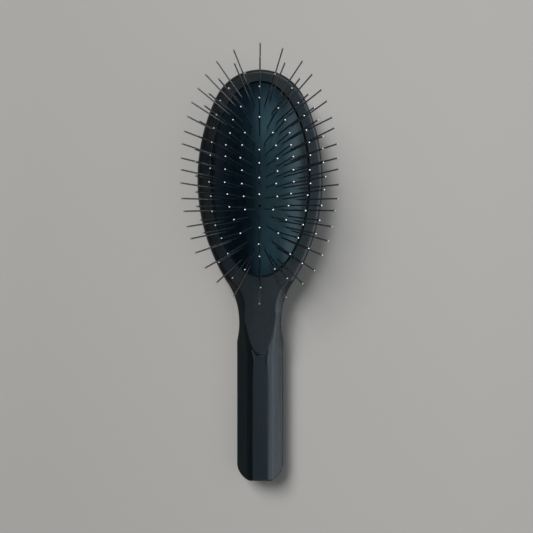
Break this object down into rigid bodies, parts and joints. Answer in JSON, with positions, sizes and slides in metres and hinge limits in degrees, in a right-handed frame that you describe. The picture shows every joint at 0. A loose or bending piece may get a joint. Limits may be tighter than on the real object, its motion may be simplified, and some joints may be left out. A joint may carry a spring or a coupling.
{
  "type": "pin brush",
  "caption": "Oval grooming brush with a dark stained wooden body and steel pins that stand out of a domed rubber pad.",
  "frame": {"origin": "on the plane that the brush's back lies on, straight below the middle of the oval pad", "axes": "+Y along the brush from the handle to the head, +Z the way the pins point, +X to the right seen from the pins' side with the head up"},
  "size_m": [0.0853, 0.2442, 0.0626],
  "materials": {
    "stained_wood": "black stained wood with fine grain under a satin lacquer",
    "pad_rubber": "smooth black rubber with a soft sheen",
    "pin_steel": "bright drawn steel wire with polished tips"
  },
  "bodies": {
    "root": {"wooden_body": "stained_wood", "rubber_pad": "pad_rubber", "pins_middle_row": "pin_steel", "pins_ring_1_left": "pin_steel", "pins_ring_1_right": "pin_steel", "pins_ring_2_left": "pin_steel", "pins_ring_2_right": "pin_steel", "pins_ring_3_left": "pin_steel", "pins_ring_3_right": "pin_steel", "pins_ring_4_left": "pin_steel", "pins_ring_4_right": "pin_steel", "pins_ring_5_left": "pin_steel", "pins_ring_5_right": "pin_steel"}
  },
  "joints": []
}
